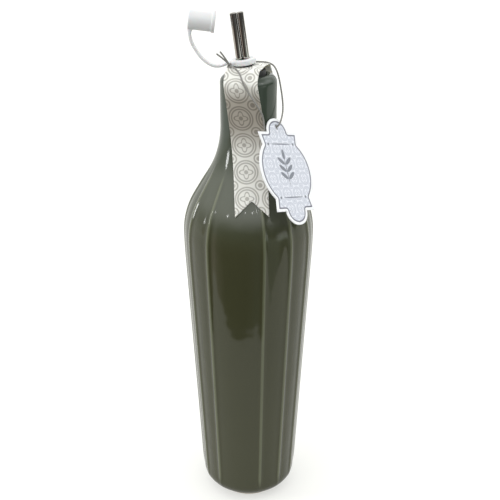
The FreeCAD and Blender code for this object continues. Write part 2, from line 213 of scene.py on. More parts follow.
def rounded(corners, radius, steps):
    """Turned profile through its corners, with an arc of the radius in each inner one, where it has room."""
    corners = [np.asarray(corner, float) for corner in corners]
    radii = radius if isinstance(radius, list) else [radius] * (len(corners) - 2)
    out = [corners[0]]
    for before, corner, after, size in zip(corners, corners[1:], corners[2:], radii):
        a, b = unit(before - corner), unit(after - corner)
        half = math.acos(np.clip(np.dot(a, b), -1, 1)) / 2
        room = 0.45 * min(np.linalg.norm(before - corner), np.linalg.norm(after - corner))
        reach = min(size / math.tan(half), room)
        if reach < 1e-6 or half > math.pi / 2 - 1e-4:
            out.append(corner)
            continue
        size = reach * math.tan(half)
        inward = unit(a + b)
        centre = corner + inward * size / math.sin(half)
        across = unit(a - np.dot(a, inward) * inward)
        span = math.pi / 2 - half
        turn = np.linspace(-span, span, steps + 1)[:, None]
        out.extend(centre - size * (inward * np.cos(turn) + across * np.sin(turn)))
    out.append(corners[-1])
    return np.array(out)


def lathe(name, profile, origin, axis, material, slot, columns=48):
    """Surface of revolution: profile rows are (radius, distance along the axis from the origin)."""
    axis = unit(axis)
    side = unit(np.cross(axis, (0.0, 1.0, 0.0)))
    other = np.cross(axis, side)
    turn = np.arange(columns) * 2 * math.pi / columns
    ring = np.cos(turn)[:, None] * side + np.sin(turn)[:, None] * other
    radius, rise = profile[:, 0, None, None], profile[:, 1, None, None]
    points = np.asarray(origin) + rise * axis + radius * ring
    return piece(name, points.reshape(-1, 3), grid_faces(len(profile), columns, ring=True), material, slot)


def tangents(path):
    """Unit direction of a path at each point, from the points before and after it."""
    way = np.gradient(path, axis=0)
    return way / np.linalg.norm(way, axis=1)[:, None]


def lengths(path):
    """Length along a path at each of its points."""
    return np.concatenate([[0], np.cumsum(np.linalg.norm(np.diff(path, axis=0), axis=1))])


def resample(path, step):
    """Points at equal steps along a path."""
    s = lengths(path)
    at = np.linspace(0, s[-1], max(2, int(round(s[-1] / step)) + 1))
    return np.stack([np.interp(at, s, path[:, k]) for k in range(path.shape[1])], 1)


# Node materials

class Nodes:
    """Short forms for building a node tree."""

    def __init__(self, tree):
        self.tree = tree

    def add(self, kind, **settings):
        """New node with its settings."""
        node = self.tree.nodes.new(kind)
        for key, value in settings.items():
            setattr(node, key, value)
        return node

    def put(self, socket, value):
        """Link or plain value on a socket."""
        if isinstance(value, bpy.types.NodeSocket):
            self.tree.links.new(value, socket)
        elif isinstance(value, (tuple, list)) and socket.type == "RGBA" and len(value) == 3:
            socket.default_value = (*value, 1.0)
        else:
            socket.default_value = value

    def math(self, operation, a, b=0.0, c=0.0):
        """One Math node."""
        node = self.add("ShaderNodeMath", operation=operation)
        for socket, value in zip(node.inputs, (a, b, c)):
            self.put(socket, value)
        return node.outputs[0]

    def times(self, a, b):
        """a times b."""
        return self.math("MULTIPLY", a, b)

    def away(self, value, at):
        """Distance of a value from another one."""
        return self.math("ABSOLUTE", self.math("SUBTRACT", value, at))

    def squares(self, u, v):
        """u^2 + v^2."""
        return self.math("ADD", self.times(u, u), self.times(v, v))

    def ramp(self, value, low, high, to_low=0.0, to_high=1.0):
        """Smooth step from one value to another between two limits."""
        node = self.add("ShaderNodeMapRange", interpolation_type="SMOOTHSTEP")
        for socket, setting in zip(node.inputs, (value, low, high, to_low, to_high)):
            self.put(socket, setting)
        return node.outputs[0]

    def mix(self, factor, a, b):
        """Colour a where the factor is 0 and b where it is 1."""
        node = self.add("ShaderNodeMix", data_type="RGBA")
        self.put(node.inputs[0], factor)
        self.put(node.inputs[6], a)
        self.put(node.inputs[7], b)
        return node.outputs[2]

    def value(self, name):
        """Number that the mesh holds per point."""
        return self.add("ShaderNodeAttribute", attribute_name=name).outputs["Fac"]

    def vector(self, name):
        """Vector that the mesh holds per point."""
        return self.add("ShaderNodeAttribute", attribute_name=name).outputs["Vector"]

    def place(self):
        """Object coordinates, in metres."""
        return self.add("ShaderNodeTexCoord").outputs["Object"]

    def parts(self, vector):
        """The x, y and z of a vector."""
        node = self.add("ShaderNodeSeparateXYZ")
        self.put(node.inputs[0], vector)
        return node.outputs

    def noise(self, scale, detail=2.0, vector=None):
        """Noise on Object coordinates or on a given vector."""
        node = self.add("ShaderNodeTexNoise")
        self.put(node.inputs["Scale"], scale)
        self.put(node.inputs["Detail"], detail)
        self.put(node.inputs["Vector"], vector or self.place())
        return node.outputs["Fac"]

    def group(self, tree, **inputs):
        """First output of a node group with these inputs."""
        node = self.add("ShaderNodeGroup", node_tree=tree)
        for key, value in inputs.items():
            self.put(node.inputs[key], value)
        return node.outputs[0]

    def seen(self, mirrored):
        """1 for rays from the camera, and the given share for rays that a gloss or glass sends on."""
        rays = self.add("ShaderNodeLightPath").outputs
        sent = self.math("MAXIMUM", rays["Is Glossy Ray"], rays["Is Transmission Ray"])
        return self.math("MAXIMUM", rays["Is Camera Ray"], self.times(sent, mirrored))

    def bump(self, height, strength, distance):
        """Normal of a surface raised by a height."""
        node = self.add("ShaderNodeBump")
        self.put(node.inputs["Height"], height)
        self.put(node.inputs["Strength"], strength)
        self.put(node.inputs["Distance"], distance)
        return node.outputs[0]


def material(name):
    """New material with its nodes and its Principled shader."""
    mat = bpy.data.materials.new(name)
    mat.use_nodes = True
    return mat, Nodes(mat.node_tree), mat.node_tree.nodes["Principled BSDF"]


def rubber_material():
    """Black rubber, dull and faintly mottled, with a fine moulded grain."""
    mat, net, shader = material("black_rubber")
    tone = net.mix(net.noise(300.0, 3.0), (0.009, 0.009, 0.009), (0.016, 0.016, 0.016))
    net.put(shader.inputs["Base Color"], tone)
    net.put(shader.inputs["Roughness"], net.ramp(net.noise(700.0), 0.3, 0.7, 0.46, 0.64))
    net.put(shader.inputs["Normal"], net.bump(net.noise(2600.0), 0.1, 0.0002))
    return mat


def steel_material():
    """Drawn steel: streaks in tone and polish, from a noise stretched along the tubes' lean."""
    mat, net, shader = material("polished_steel")
    streak = net.add("ShaderNodeMapping", vector_type="TEXTURE")
    net.put(streak.inputs["Vector"], net.place())
    net.put(streak.inputs["Rotation"], (0.0, math.radians(-LEAN), 0.0))
    net.put(streak.inputs["Scale"], (1.0, 1.0, 80.0))
    drawn = net.noise(2400.0, 3.0, streak.outputs["Vector"])
    net.put(shader.inputs["Base Color"], net.mix(drawn, (0.41, 0.39, 0.36), (0.52, 0.50, 0.47)))
    net.put(shader.inputs["Roughness"], net.ramp(drawn, 0.3, 0.7, 0.07, 0.15))
    net.put(shader.inputs["Metallic"], 1.0)
    return mat


def silicone_material():
    """Soft white silicone: light passes a little way in, and the satin skin varies slightly."""
    mat, net, shader = material("white_silicone")
    net.put(shader.inputs["Base Color"], net.mix(net.noise(120.0), (0.68, 0.68, 0.69), (0.72, 0.72, 0.73)))
    net.put(shader.inputs["Roughness"], net.ramp(net.noise(500.0), 0.3, 0.7, 0.37, 0.48))
    net.put(shader.inputs["Normal"], net.bump(net.noise(1800.0), 0.06, 0.0002))
    net.put(shader.inputs["Subsurface Weight"], 0.1)
    net.put(shader.inputs["Subsurface Scale"], 0.002)
    return mat


# Rounds of the tile print: shift of the middle, rings, lobed line and dot, as shares of the pitch
TILE_ROUNDS = ((0.0, (0.43, 0.34), 0.19, 0.05), (0.5, (0.17,), 0.0, 0.06))


def tile_group():
    """Ink of a tile print in square cells: a four-lobed round in two rings, and a ringed dot between cells.

    The lobed line lies at r = lobe (1 + 0.3 cos 4 phi), and ink is where a line is nearer than its width.
    """
    tree = bpy.data.node_groups.new("tiles", "ShaderNodeTree")
    tree.interface.new_socket("Ink", in_out="OUTPUT", socket_type="NodeSocketFloat")
    tree.interface.new_socket("Place", in_out="INPUT", socket_type="NodeSocketVector")
    tree.interface.new_socket("Pitch", in_out="INPUT", socket_type="NodeSocketFloat")
    tree.interface.new_socket("Line", in_out="INPUT", socket_type="NodeSocketFloat")
    net = Nodes(tree)
    inlet, outlet = net.add("NodeGroupInput"), net.add("NodeGroupOutput")
    pitch, line = inlet.outputs["Pitch"], inlet.outputs["Line"]
    fine = net.times(line, 0.45)
    cells = [net.math("DIVIDE", part, pitch) for part in net.parts(inlet.outputs["Place"])[:2]]
    ink = 0.0
    for shift, rings, lobe, dot in TILE_ROUNDS:
        shares = [net.math("FRACT", net.math("ADD", cell, shift)) for cell in cells]
        u, v = (net.math("SUBTRACT", share, 0.5) for share in shares)
        r = net.math("SQRT", net.squares(u, v))
        gaps = [net.away(r, ring) for ring in rings]
        gaps.append(net.math("MAXIMUM", net.math("SUBTRACT", r, dot), 0.0))
        if lobe:
            wave = net.math("COSINE", net.times(net.math("ARCTAN2", v, u), 4.0))
            gaps.append(net.away(r, net.math("MULTIPLY_ADD", wave, lobe * 0.3, lobe)))
        for gap in gaps:
            ink = net.math("MAXIMUM", net.ramp(net.times(gap, pitch), line, fine), ink)
    net.put(outlet.inputs["Ink"], ink)
    return tree


def glaze_material():
    """Sage glaze: pale where it runs thin over the ribs and deep in the hollow beside them; lighter and
    greener on the shoulder and darker up the neck, each partly the glaze's own colour and partly painted
    light and shade.
    """
    mat, net, shader = material("sage_glaze")
    thin, bare = net.value("thin"), net.value("bare")
    height = net.parts(net.place())[2]
    # Shoulder lighter and greener: partly the glaze's own colour, partly painted light where the shoulder
    # catches more light
    body = net.mix(net.ramp(height, 0.18, 0.212), (0.043, 0.044, 0.021), (0.064, 0.072, 0.049))
    # Neck darker: partly the glaze's own colour, partly painted shade
    body = net.mix(net.ramp(height, 0.216, 0.25), body, (0.040, 0.053, 0.039))
    cloud = net.noise(28.0, 3.0)
    body = net.mix(net.ramp(cloud, 0.35, 0.7, 0.0, 0.3), body, (0.037, 0.038, 0.018))
    body = net.mix(net.ramp(thin, 0.25, 1.0, 0.0, 0.8), body, (0.125, 0.133, 0.082))
    clay = net.mix(net.noise(900.0, 3.0), (0.36, 0.30, 0.20), (0.46, 0.39, 0.27))
    net.put(shader.inputs["Base Color"], net.mix(bare, body, clay))
    net.put(shader.inputs["Roughness"], net.ramp(bare, 0.0, 1.0, 0.09, 0.85))
    net.put(shader.inputs["IOR"], 1.5)
    net.put(shader.inputs["Specular IOR Level"], 0.42)
    net.put(shader.inputs["Normal"], net.bump(net.noise(70.0, 1.0), 0.12, 0.002))
    return mat


def paper_material(tiles):
    """Off-white paper with a taupe tile print on its upper skin; along the neck the upper skin and its print
    are darkened to taupe, a painted shade.
    """
    mat, net, shader = material("printed_paper")
    height = net.parts(net.place())[2]
    upper_skin = net.value("print")
    fibre = net.noise(1500.0, 3.0)
    sheet = net.mix(fibre, (0.76, 0.75, 0.71), (0.82, 0.81, 0.77))
    # Painted shade: the upper skin turns taupe along the neck, between these heights in metres
    tone = net.times(net.ramp(height, 0.231, 0.252), net.ramp(height, 0.274, 0.262))
    sheet = net.mix(net.times(tone, upper_skin), sheet, (0.34, 0.31, 0.265))
    # Painted shade on the print as well: its ink is darker along the neck
    ink_with_painted_shade = net.mix(tone, (0.34, 0.32, 0.29), (0.14, 0.122, 0.10))
    ink = net.times(net.group(tiles, Place=net.vector("place"), Pitch=15.0, Line=0.55), upper_skin)
    net.put(shader.inputs["Base Color"], net.mix(net.times(ink, 0.75), sheet, ink_with_painted_shade))
    net.put(shader.inputs["Roughness"], 0.75)
    net.put(shader.inputs["Subsurface Weight"], 0.35)
    net.put(shader.inputs["Subsurface Radius"], (1.0, 0.95, 0.85))
    net.put(shader.inputs["Subsurface Scale"], 0.0006)
    net.put(shader.inputs["Normal"], net.bump(fibre, 0.1, 0.0002))
    return mat


def leaf(net, x, y, at, angle, length, width):
    """Mask of an ellipse turned by an angle: inside (u / length)^2 + (v / width)^2 = 1."""
    dx, dy = net.math("SUBTRACT", x, at[0]), net.math("SUBTRACT", y, at[1])
    u = net.math("MULTIPLY_ADD", dy, sind(angle) / length, net.times(dx, cosd(angle) / length))
    v = net.math("MULTIPLY_ADD", dy, cosd(angle) / width, net.times(dx, -sind(angle) / width))
    return net.ramp(net.squares(u, v), 1.25, 0.75)


def sprig(net, x, y):
    """Mask of a plain leafy twig between two rules, each rule with a dot at both ends."""
    stem, tip = ((0.0, 0.0), 90, 8.2, 0.34), ((0.0, 9.6), 90, 3.0, 1.1)
    marks = [stem, tip]
    for height in (-2.6, 1.6, 5.8):
        marks += [((side * 2.9, height), 90 - side * 52, 3.1, 1.1) for side in (-1, 1)]
    for height in (-15.0, 15.6):
        marks.append(((0.0, height), 0, 8.0, 0.36))
        marks += [((side * 10.2, height), 0, 0.75, 0.75) for side in (-1, 1)]
    mask = 0.0
    for mark in marks:
        mask = net.math("MAXIMUM", leaf(net, x, y, *mark), mask)
    return mask


def card_material(tiles):
    """White card with a thin dark frame line and a pale lavender tile print behind a plain twig."""
    mat, net, shader = material("printed_card")
    edge = net.value("edge")
    place = net.vector("place")
    x, y, _ = net.parts(place)
    ink = net.group(tiles, Place=place, Pitch=8.6, Line=0.5)
    field = net.mix(net.times(ink, 0.55), (0.74, 0.75, 0.81), (0.40, 0.42, 0.50))
    field = net.mix(net.times(sprig(net, x, y), 0.85), field, (0.13, 0.14, 0.17))
    color = net.mix(net.ramp(edge, 1.75, 1.95), (0.86, 0.86, 0.88), field)
    frame_line = net.ramp(net.away(edge, 1.9), 0.55, 0.2)
    color = net.mix(net.times(frame_line, net.value("print")), color, (0.13, 0.13, 0.17))
    net.put(shader.inputs["Base Color"], color)
    net.put(shader.inputs["Roughness"], 0.6)
    net.put(shader.inputs["Normal"], net.bump(net.noise(1500.0, 3.0), 0.08, 0.0002))
    return mat


def string_material():
    """Dull grey string, mottled from fibre to fibre."""
    mat, net, shader = material("grey_string")
    fibre = net.mix(net.noise(2500.0, 3.0), (0.17, 0.165, 0.155), (0.31, 0.30, 0.285))
    net.put(shader.inputs["Base Color"], fibre)
    net.put(shader.inputs["Roughness"], 0.85)
    return mat


TILES = tile_group()
GLAZE = glaze_material()
RUBBER = rubber_material()
STEEL = steel_material()
SILICONE = silicone_material()
PRINTED_PAPER_WITH_SHADE = paper_material(TILES)
CARD = card_material(TILES)
STRING = string_material()


# Bottle

def on_circle(circle, angles):
    """Points of a circle (x, z, radius) at angles from the x axis."""
    x, z, radius = circle
    turn = np.radians(np.atleast_1d(angles))
    return np.stack([x + radius * np.cos(turn), z + radius * np.sin(turn)], 1)


def outline(inset):
    """Circles of the bottle's side set in by a depth: base corner, side, shoulder and neck flare.

    Straight runs join the side to the base corner and the shoulder to the flare, both tangent.
    """
    top = SHOULDER_R - inset
    turn = SHOULDER_ROUND - inset
    shoulder = (top - turn, SHOULDER_Z, turn)
    side = (top - (WALL_ROUND - inset), SHOULDER_Z, WALL_ROUND - inset)
    flare = NECK_ROUND + inset
    flare_x = NECK_R - inset + flare
    end_x, end_z = on_circle(shoulder, SHOULDER_SLOPE)[0]
    run = (end_x - flare_x + flare * cosd(SHOULDER_SLOPE)) / tand(SHOULDER_SLOPE)
    neck = (flare_x, end_z + run + flare * sind(SHOULDER_SLOPE), flare)
    base = BASE_ROUND - inset
    base_z = FOOT_H + BASE_ROUND
    low_x, low_z = on_circle(side, -WALL_TAPER)[0]
    drop = low_z - base_z + base * sind(WALL_TAPER)
    base_x = low_x - drop * tand(WALL_TAPER) - base * cosd(WALL_TAPER)
    return (base_x, base_z, base), side, shoulder, neck


def side_profile(inset):
    """Radius and height along the bottle's side, from the underside up to the neck."""
    base, side, shoulder, neck = outline(inset)
    return np.vstack([on_circle(base, np.linspace(-90, -WALL_TAPER, 12)),
                      on_circle(side, np.linspace(-WALL_TAPER, 0, 14)),
                      on_circle(shoulder, np.linspace(0, SHOULDER_SLOPE, 20))[1:],
                      on_circle(neck, np.linspace(180 + SHOULDER_SLOPE, 180, 24))])


def bottle_profile():
    """Radius and height from the foot's middle up the outside, over the lip and down the inside.

    Two masks go with it: one of the ribbed side, and one of the foot's bare clay.
    """
    under = side_profile(0)
    foot = rounded([(0, FOOT_HOLLOW), (FOOT_IN, FOOT_HOLLOW), (FOOT_IN, 0), (FOOT_OUT, 0),
                    (FOOT_OUT, FOOT_H), under[0]], [0.6, 0.6, 0.8, 0.6], 3)
    side = resample(under, 1.25)
    lip = on_circle((NECK_R - LIP_OUT, MOUTH_Z - LIP_OUT, LIP_OUT), np.linspace(0, 90, 12))
    lip_in = on_circle((BORE_R + LIP_IN, MOUTH_Z - LIP_IN, LIP_IN), np.linspace(90, 180, 6))
    neck = resample(np.array([under[-1], lip[0]]), 2.0)
    inner = resample(side_profile(WALL)[::-1], 5.0)
    bore_end, floor_middle = [(BORE_R, MOUTH_Z - BORE_DEPTH)], [(0, inner[-1][1])]
    profile = np.vstack([foot, side[1:], neck[1:], lip[1:], lip_in, bore_end, inner, floor_middle])
    row = np.arange(len(profile))
    ribbed = (row >= len(foot)) & (row < len(foot) + len(side) - 1)
    outside = row < len(foot) + len(side) + len(neck) + len(lip)
    bare = outside * (1 - smooth(FOOT_H - 0.5, FOOT_H + 0.3, profile[:, 1]))
    return profile, ribbed, bare


def make_bottle():
    """Revolved wall r(s), z(s), raised along its normal by each rib.

    A rib is h exp(-(d / w)^2), with d the way round to its middle. A shallow hollow of the same
    form lies on both sides of it. The front and the back have no rib.
    """
    profile, ribbed, bare = bottle_profile()
    radius, height = profile.T
    way = tangents(profile)
    normal = np.stack([way[:, 1], -way[:, 0]], 1)
    step = 2 * math.pi / RIB_PLACES
    beside = np.array(RIB_COLUMNS)
    beside = np.concatenate([-beside[:0:-1], beside])
    turn = np.sort(np.concatenate([k * step + beside for k in range(RIB_PLACES)]))
    rank = np.round(turn / step)
    from_front = np.abs(np.mod(rank + RIB_PLACES / 2, RIB_PLACES) - RIB_PLACES / 2)
    has_rib = (from_front >= 1) & (from_front <= RIB_SIDE)
    fade = ribbed * smooth(RIB_START, RIB_FULL, height) * (1 - smooth(RIB_FADE, RIB_END, height))
    share = fade[:, None] * has_rib[None, :]
    away = np.abs(turn - rank * step)[None, :] * radius[:, None]
    ridge = np.exp(-(away / RIB_W) ** 2) * share
    hollow = np.exp(-((away - HOLLOW_AWAY) / HOLLOW_W) ** 2) * share
    lift = RIB_H * ridge - HOLLOW_DEPTH * hollow
    wall = profile[:, None, :] + lift[:, :, None] * normal[:, None, :]
    azimuth = turn + math.radians(RIB_TURN)
    points = np.stack([wall[..., 0] * np.sin(azimuth), -wall[..., 0] * np.cos(azimuth), wall[..., 1]], -1)
    thin = ridge - 0.5 * hollow
    bare = np.broadcast_to(bare[:, None], thin.shape)
    faces = grid_faces(len(profile), len(turn), ring=True)
    obj = piece("bottle", points.reshape(-1, 3), faces, GLAZE, "glaze", thin=thin.ravel(), bare=bare.ravel())
    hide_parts("bottle_body")
    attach(obj, "bottle")


make_bottle()


# Pourer

AXIS = np.array([-sind(LEAN), 0, cosd(LEAN)])
SIDE = np.array([cosd(LEAN), 0, sind(LEAN)])
BASE = np.array([0, 0, LEAN_Z])


def along(s, side=0.0):
    """Point at a distance along the lean and a distance beside it."""
    return BASE + AXIS * s + SIDE * side


def make_stopper():
    """Finned rubber plug round Z with a leaning boss; both are turned profiles."""
    points = [(0, PLUG_LOW), (CORE_R, PLUG_LOW)]
    for k in range(FINS):
        z = FIN_Z + k * FIN_STEP
        points += [(CORE_R, z), (FIN_R, z + FIN_SLOPE), (FIN_R, z + FIN_H), (CORE_R, z + FIN_H)]
    points += [(CORE_R, HEAD_SLOPE_Z), (FIN_R, PLUG_TOP - HEAD_H), (FIN_R, PLUG_TOP), (0, PLUG_TOP)]
    profile = rounded(points, 0.5, 3)
    plug = lathe("stopper_plug", profile, (0, 0, 0), (0, 0, 1), RUBBER, "black_rubber", 64)
    profile = rounded([(0, BOSS_LOW), (BOSS_R, BOSS_LOW), (BOSS_R, BOSS_TOP), (0, BOSS_TOP)], 0.4, 3)
    boss = lathe("stopper_boss", profile, BASE, AXIS, RUBBER, "black_rubber")
    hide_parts("stopper")
    for obj in (plug, boss):
        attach(obj, "pourer")


def make_tubes():
    """Two thin polished tubes side by side: a closed wall profile turned round each tube's own axis."""
    inner = TUBE_R - TUBE_WALL
    for name, node, side, low in (("tube_pour", "pour_tube", TUBE_SIDE, POUR_LOW),
                                  ("tube_vent", "vent_tube", -TUBE_SIDE, VENT_LOW)):
        corners = [(inner, low), (TUBE_R, low), (TUBE_R, TUBE_TOP), (inner, TUBE_TOP), (inner, low)]
        obj = lathe(name, rounded(corners, TUBE_ROUND, 5), along(0, side), AXIS, STEEL, "steel", 40)
        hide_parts(node)
        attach(obj, "pourer")


def make_ring():
    """Silicone collar that grips over the boss: a closed profile turned round the lean."""
    top = RING_S + RING_H
    inner, step = BOSS_R + RING_GAP, BOSS_TOP + RING_GAP
    corners = [(inner, RING_S), (RING_R, RING_S), (RING_R, top), (RING_HOLE, top), (RING_HOLE, step),
               (inner, step), (inner, RING_S)]
    profile = rounded(corners, [0.7, 0.9, 0.4, 0.1, 0.1], 5)
    obj = lathe("strap_collar", profile, BASE, AXIS, SILICONE, "white_silicone", 64)
    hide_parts("strap_ring")
    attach(obj, "strap")


def through(points, steps):
    """Smooth line through points: cubic pieces whose slope at a point is half the chord of its neighbours."""
    points = np.vstack([2 * points[0] - points[1], points, 2 * points[-1] - points[-2]])
    t = np.linspace(0, 1, steps, endpoint=False)[:, None]
    out = []
    for a, b, c, d in zip(points, points[1:], points[2:], points[3:]):
        square = a - 2.5 * b + 2 * c - d / 2
        cube = 1.5 * (b - c) + (d - a) / 2
        out.append(b + t * (c - a) / 2 + t ** 2 * square + t ** 3 * cube)
    return np.vstack(out + [points[-2:-1]])


def strap_line():
    """Middle line of the strap: out of the collar, sagging, then up to the cap's closed end."""
    start = along(RING_S + RING_H / 2, -RING_R + STRAP_ROOT)
    return resample(through(np.array([start, *STRAP_BEND]), 12), 0.5)


def strap_mesh(path, thick):
    """Section |2 t / T|^(2 / bow) + |2 y / W|^(2 / bow) = 1 carried along a path in the XZ plane.

    What it gains in thickness is on its inner side.
    """
    way = tangents(path)
    normal = np.stack([-way[:, 2], np.zeros(len(way)), way[:, 0]], 1)
    phi = np.arange(STRAP_COLUMNS) * 2 * math.pi / STRAP_COLUMNS
    wide = np.sign(np.sin(phi)) * np.abs(np.sin(phi)) ** STRAP_BOW * STRAP_W / 2
    high = np.sign(np.cos(phi)) * np.abs(np.cos(phi)) ** STRAP_BOW / 2
    out = high[None, :] * thick[:, None] - (thick[:, None] - STRAP_T) / 2
    points = path[:, None] + out[:, :, None] * normal[:, None]
    points = points + wide[None, :, None] * np.array([0.0, 1.0, 0.0])
    last = len(path) - 1
    ends = [range(STRAP_COLUMNS)[::-1], range(last * STRAP_COLUMNS, (last + 1) * STRAP_COLUMNS)]
    return points.reshape(-1, 3), [*grid_faces(len(path), STRAP_COLUMNS, ring=True), *ends]


def make_strap():
    """Strap in two lengths, cut from one line."""
    path = strap_line()
    count = len(path)
    thick = STRAP_T + STRAP_GAIN * smooth(STRAP_THICK, 1.0, np.linspace(0, 1, count)) ** 2
    cut = int(count * STRAP_CUT)
    low = piece("strap_low", *strap_mesh(path[:cut + 1], thick[:cut + 1]), SILICONE, "white_silicone")
    high = piece("strap_high", *strap_mesh(path[cut:], thick[cut:]), SILICONE, "white_silicone")
    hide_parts("strap_lower")
    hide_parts("strap_upper")
    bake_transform(low)
    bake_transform(high)


def make_cap():
    """Silicone cap with a lip round its open end: a turned profile, from its closed end to its bore."""
    out = CAP_R + CAP_LIP
    step = CAP_L - CAP_LIP_L
    corners = [(0, 0), (CAP_R, 0), (CAP_R, step), (out, step + CAP_LIP), (out, CAP_L), (CAP_BORE, CAP_L),
               (CAP_BORE, CAP_END), (0, CAP_END)]
    profile = rounded(corners, [0.8, 0.5, 0.5, 0.5, 0.4, 0.3], 6)
    axis = (cosd(CAP_TILT), 0, -sind(CAP_TILT))
    obj = lathe("spout_cap_skin", profile, CAP_AT, axis, SILICONE, "white_silicone", 72)
    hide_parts("spout_cap")
    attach(obj, "cap")


make_stopper()
make_tubes()
make_ring()
make_strap()
make_cap()


# Paper band

def pushed(points, centre, hole, reach):
    """Points of a plane moved out of a round hole: r becomes hole + r (reach - hole) / reach within reach."""
    offset = points - centre
    r = np.linalg.norm(offset, axis=-1, keepdims=True)
    scale = np.where(r < reach, (hole + r * (reach - hole) / reach) / np.maximum(r, 1e-9), 1.0)
    return centre + offset * scale


def without_hole(grid, centre):
    """Quads of a plane grid, all but those that hold a point."""
    faces = grid_faces(*grid.shape[:2])
    corners = grid.reshape(-1, 2)[faces]
    inside = (corners.min(1) <= centre + 1e-9) & (corners.max(1) >= centre - 1e-9)
    return faces[~inside.all(1)]


def band_leg():
    """Half of the strip's line, as distance out and height: shoulder, neck, lip and flat top."""
    _, _, shoulder, neck = outline(-PAPER_GAP)
    lip = (NECK_R - LIP_OUT, MOUTH_Z - LIP_OUT, LIP_OUT + PAPER_GAP)
    top = PLUG_TOP + BAND_LIFT
    return np.vstack([on_circle(shoulder, np.linspace(BAND_END_ANGLE, SHOULDER_SLOPE, 5)),
                      on_circle(neck, np.linspace(180 + SHOULDER_SLOPE, 180, 24)),
                      on_circle(lip, np.linspace(0, BAND_LIP_TURN, 8)),
                      [(BAND_TOP_HALF, top), (0, top)]])


def make_band():
    """Strip over the mouth: q(s), z(s) along it and u across it, its front leg drifting round the neck.

    Its ends are notched, its hole is pushed open round the boss, and it bulges under the collar
    by h exp(-(distance / radius)^2).
    """
    length = lengths(band_leg())[-1]
    leg = resample(band_leg(), 0.9)
    line = np.vstack([leg, leg[-2::-1] * (-1, 1)])
    way = tangents(line)
    s = np.linspace(-length, length, len(line))
    u = np.linspace(-BAND_W / 2, BAND_W / 2, BAND_COLUMNS)
    grid = np.stack(np.meshgrid(s, u, indexing="ij"), -1)
    hole_x = -(PLUG_TOP - LEAN_Z) * tand(LEAN)
    hole = np.array([-hole_x * sind(BAND_TURN), hole_x * cosd(BAND_TURN)])
    flat = pushed(grid, hole, BAND_HOLE, BAND_HOLE * BAND_HOLE_REACH)
    notch = BAND_NOTCH * (1 - 2 * np.abs(u) / BAND_W)
    near_end = smooth(length * BAND_NOTCH_FROM, length, np.abs(flat[..., 0]))
    run = flat[..., 0] - np.sign(flat[..., 0]) * notch[None, :] * near_end
    q, z = np.interp(run, s, line[:, 0]), np.interp(run, s, line[:, 1])
    out_q, out_z = np.interp(run, s, way[:, 1]), np.interp(run, s, -way[:, 0])
    down = np.clip((MOUTH_Z - z) / (MOUTH_Z - leg[0, 1]), 0, None) * (run < 0)
    drift = BAND_DRIFT * np.sin(np.minimum(down / BAND_DRIFT_SPAN, 1.0) * math.pi / 2)
    azimuth = np.radians(BAND_TURN + drift)

    def skin(lift):
        """Points of the strip at a height above its underside."""
        reach = q + out_q * lift
        x = reach * np.sin(azimuth) + flat[..., 1] * np.cos(azimuth)
        y = -reach * np.cos(azimuth) + flat[..., 1] * np.sin(azimuth)
        bulge = BULGE_H * np.exp(-((x - BULGE_X) ** 2 + y ** 2) / BULGE_R ** 2)
        bulge = bulge * smooth(PLUG_TOP, PLUG_TOP + BAND_LIFT, z)
        return np.stack([x, y, z + out_z * lift + bulge], -1).reshape(-1, 3)

    points, faces = slab(skin(PAPER), skin(0.0), without_hole(grid, hole))
    where = np.stack([flat[..., 1].ravel() - PRINT_SHIFT, run.ravel(), np.zeros(run.size)], 1)
    obj = piece("paper_strip", points, faces, PRINTED_PAPER_WITH_SHADE, "printed_paper",
                place=np.vstack([where, where]), print=np.repeat([1.0, 0.0], run.size))
    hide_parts("paper_band")
    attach(obj, "pourer")


make_band()


# Hang tag

def circle_through(a, b, c):
    """Centre of the circle through three points of a plane."""
    a, b, c = (np.asarray(point, float) for point in (a, b, c))
    chords = np.array([b - a, c - a]) * 2
    return np.linalg.solve(chords, [b @ b - a @ a, c @ c - a @ a])


def tag_width(y):
    """Half width of the card at a height y above its middle, and below it alike: belly, corner and tab."""
    y = np.abs(y)
    crown = (0, TAG_HALF + TAG_RISE)
    bow = (TAG_TAB * TAG_BOW_X, TAG_HALF + TAG_RISE * TAG_BOW_Y)
    tab_x, tab_y = circle_through(crown, bow, (TAG_TAB, TAG_HALF))
    tab_r = math.hypot(tab_x, crown[1] - tab_y)
    tab = tab_x + np.sqrt(np.maximum(tab_r ** 2 - (y - tab_y) ** 2, 0))
    waist, low_waist = (TAG_WAIST, TAG_WAIST_Y), (TAG_WAIST, -TAG_WAIST_Y)
    belly_x, belly_y = circle_through(waist, (TAG_BELLY, 0), low_waist)
    belly = belly_x + np.sqrt(np.maximum((TAG_BELLY - belly_x) ** 2 - (y - belly_y) ** 2, 0))
    corner = TAG_WAIST + (TAG_SHOULDER - TAG_WAIST) * (y - TAG_WAIST_Y) / (TAG_HALF - TAG_WAIST_Y)
    return np.where(y > TAG_HALF, tab, np.where(y > TAG_WAIST_Y, corner, belly))


def tag_point(x, y, z):
    """Card coordinates, from the hole, to the row frame: rolled in its plane, tipped and turned."""
    x, y = x * cosd(TAG_ROLL) + y * sind(TAG_ROLL), -x * sind(TAG_ROLL) + y * cosd(TAG_ROLL)
    tip = 90 - TAG_SLANT
    y, z = y * cosd(tip) - z * sind(tip), y * sind(tip) + z * cosd(tip)
    x, y = x * cosd(TAG_AZ) - y * sind(TAG_AZ), x * sind(TAG_AZ) + y * cosd(TAG_AZ)
    return np.stack([x + TAG_AT[0], y + TAG_AT[1], z + TAG_AT[2]], -1)


